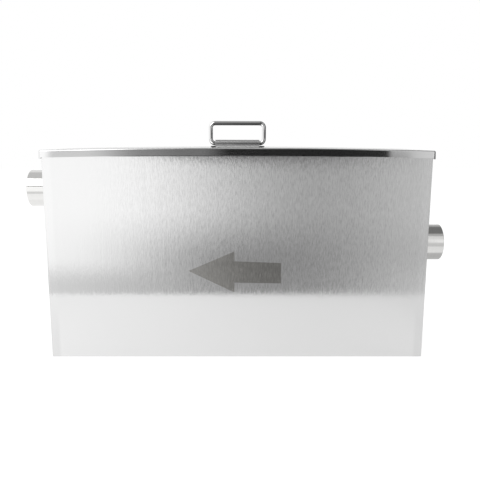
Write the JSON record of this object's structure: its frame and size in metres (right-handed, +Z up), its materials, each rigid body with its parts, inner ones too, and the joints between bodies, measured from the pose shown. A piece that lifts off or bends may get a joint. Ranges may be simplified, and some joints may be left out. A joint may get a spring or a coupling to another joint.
{
  "type": "sand trap",
  "caption": "Under-sink sand and sediment trap: a folded stainless box with a lift-off lid, a folding handle, an inlet and an outlet pipe stub, and slide-in baffles.",
  "frame": {"origin": "middle of the tank's underside, on the surface it stands on", "axes": "+X along the tank to the inlet end, +Y to its back, +Z up; the marked front looks along -Y"},
  "size_m": [0.58, 0.1566, 0.3163],
  "materials": {
    "brushed_sheet": "vertical brushed grain, ground strips at the end seams",
    "lid_sheet": "brushed top, brighter folded flange",
    "stub_tube": "bright drawn tube",
    "seal_rubber": "matt black",
    "handle_plate": "brushed",
    "handle_wire": "polished wire",
    "rivet_steel": "turned"
  },
  "bodies": {
    "tank": {"tank_shell": "brushed_sheet", "inlet_end_plate": "brushed_sheet", "outlet_end_plate": "brushed_sheet", "inlet_channel_front": "brushed_sheet", "inlet_channel_back": "brushed_sheet", "outlet_channel_front": "brushed_sheet", "outlet_channel_back": "brushed_sheet", "inlet_baffle": "brushed_sheet", "outlet_weir": "brushed_sheet", "inlet_stub": "stub_tube", "outlet_stub": "stub_tube", "lid_seal": "seal_rubber", "lid": "lid_sheet", "handle_saddle": "handle_plate", "handle_rivet_front_left": "rivet_steel", "handle_rivet_front_right": "rivet_steel", "handle_rivet_back_left": "rivet_steel", "handle_rivet_back_right": "rivet_steel"},
    "bail": {"handle_bail": "handle_wire"}
  },
  "joints": [
    {"name": "bail_hinge", "type": "hinge", "parent": "tank", "child": "bail", "pos_m": [0, 0, 0.2859], "axis": [1, 0, 0], "range_deg": [-90, 90]}
  ]
}
